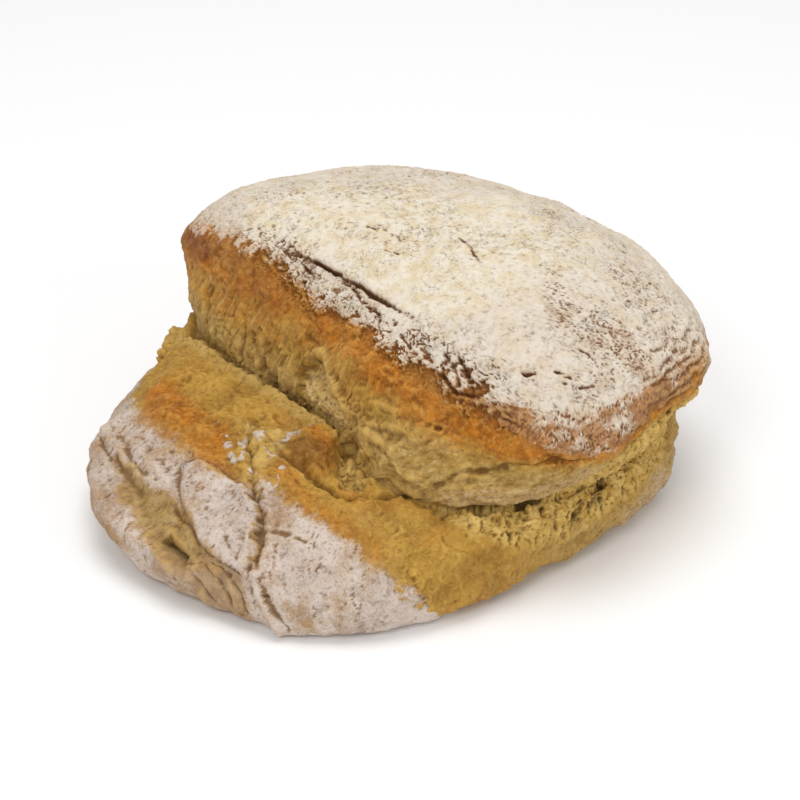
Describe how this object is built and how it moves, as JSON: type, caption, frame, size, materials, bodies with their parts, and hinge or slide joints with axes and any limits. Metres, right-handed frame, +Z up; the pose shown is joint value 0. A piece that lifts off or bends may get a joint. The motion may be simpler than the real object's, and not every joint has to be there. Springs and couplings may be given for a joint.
{
  "type": "bread loaf",
  "caption": "Rustic round loaf with a flour-dusted domed cap, burst along one side over a bulging lower lobe, baked as one solid piece.",
  "frame": {"origin": "centre of the loaf's bounding box, on the table plane that its flat foot rests on", "axes": "+X along the cap's long way towards its blunt end, -Y towards the burst side and its lobe, +Z up through the domed top"},
  "size_m": [0.2516, 0.2716, 0.116],
  "materials": {
    "crust": "dry baked crust, matt, dusted with white flour on the cap and the lobe"
  },
  "bodies": {
    "root": {"loaf": "crust"}
  },
  "joints": []
}
